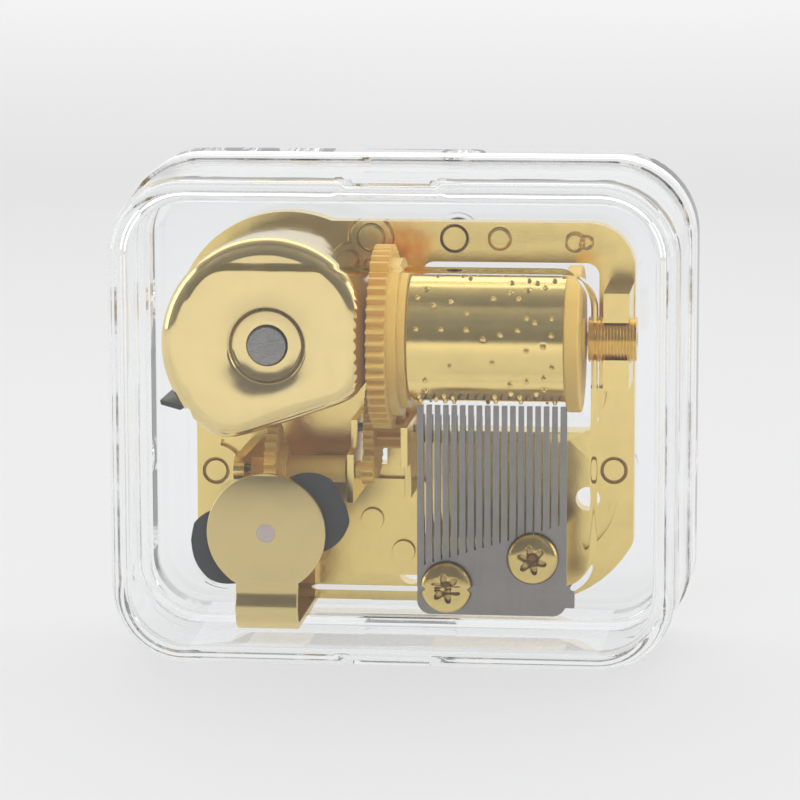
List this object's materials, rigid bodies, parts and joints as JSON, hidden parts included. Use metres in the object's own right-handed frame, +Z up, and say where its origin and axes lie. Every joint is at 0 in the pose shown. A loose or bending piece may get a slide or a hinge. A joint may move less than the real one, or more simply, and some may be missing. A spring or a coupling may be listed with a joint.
{
  "type": "cylinder music box",
  "caption": "Wind-up comb-and-cylinder musical movement in a clear two-part rounded case, standing on its long side, with a winding key at the back.",
  "frame": {"origin": "on the flat rest face under the case, at the middle of the case's width and depth, the winding key not counted", "axes": "+X to the right along the cylinder as seen from the front, -Y towards the front face, +Z up"},
  "size_m": [0.066, 0.0396, 0.0557],
  "materials": {
    "clear": "clear moulded polystyrene, gloss",
    "gold": "bright gold plating",
    "amber": "amber acetal, semi-gloss",
    "steel": "bright steel",
    "dark_steel": "blued spring steel",
    "comb_steel": "ground tempered steel",
    "lead": "dull lead",
    "black_plastic": "matt black",
    "jewel": "pale bearing"
  },
  "bodies": {
    "frame": {"case_back": "clear", "movement_screws": "steel", "bedplate": "gold", "spring_housing": "gold", "mainspring": "dark_steel", "bearing_bush": "gold", "comb": "comb_steel", "comb_weights": "lead", "comb_screws": "gold", "second_wheel_pin": "steel", "gear_bracket": "gold", "bracket_screws": "gold", "governor_bracket": "gold", "governor_rivets": "gold", "front_jewel": "jewel", "rear_jewel": "jewel"},
    "cover": {"front_cover": "clear"},
    "cylinder": {"pinned_cylinder": "gold", "cylinder_gear": "amber", "cylinder_end_cap": "amber", "cylinder_arbor": "steel"},
    "crown": {"great_wheel": "amber"},
    "winding": {"winding_arbor": "steel", "clutch_spring": "steel", "winding_key": "gold"},
    "second": {"second_wheel": "amber"},
    "worm_shaft": {"worm_wheel": "amber", "worm_wheel_pin": "steel"},
    "governor": {"governor_worm": "steel", "air_brake": "black_plastic"}
  },
  "joints": [
    {"name": "cover_lift_off", "type": "slide", "parent": "frame", "child": "cover", "axis": [0, -1, 0], "range_m": [0, 0.03]},
    {"name": "cylinder_turn", "type": "hinge", "parent": "frame", "child": "cylinder", "pos_m": [0, -0.0011, 0.0357], "axis": [1, 0, 0], "continuous": true},
    {"name": "crown_turn", "type": "hinge", "parent": "frame", "child": "crown", "pos_m": [-0.014, 0, 0.0357], "axis": [0, 1, 0], "continuous": true},
    {"name": "key_winding", "type": "hinge", "parent": "frame", "child": "winding", "pos_m": [-0.014, 0, 0.0357], "axis": [0, 1, 0], "range_deg": [0, 1260]},
    {"name": "second_wheel_turn", "type": "hinge", "parent": "frame", "child": "second", "pos_m": [0, 0.0035, 0.02456], "axis": [1, 0, 0], "continuous": true},
    {"name": "worm_wheel_turn", "type": "hinge", "parent": "frame", "child": "worm_shaft", "pos_m": [0, -0.00203, 0.0206], "axis": [1, 0, 0], "continuous": true},
    {"name": "governor_turn", "type": "hinge", "parent": "frame", "child": "governor", "pos_m": [-0.0143, 0, 0.0145], "axis": [0, 1, 0], "continuous": true}
  ],
  "couplings": [
    {"joint": "worm_wheel_turn", "follows": "governor_turn", "ratio": -0.041667},
    {"joint": "second_wheel_turn", "follows": "governor_turn", "ratio": 0.010417},
    {"joint": "cylinder_turn", "follows": "governor_turn", "ratio": -0.0020833},
    {"joint": "crown_turn", "follows": "governor_turn", "ratio": 0.001796}
  ]
}
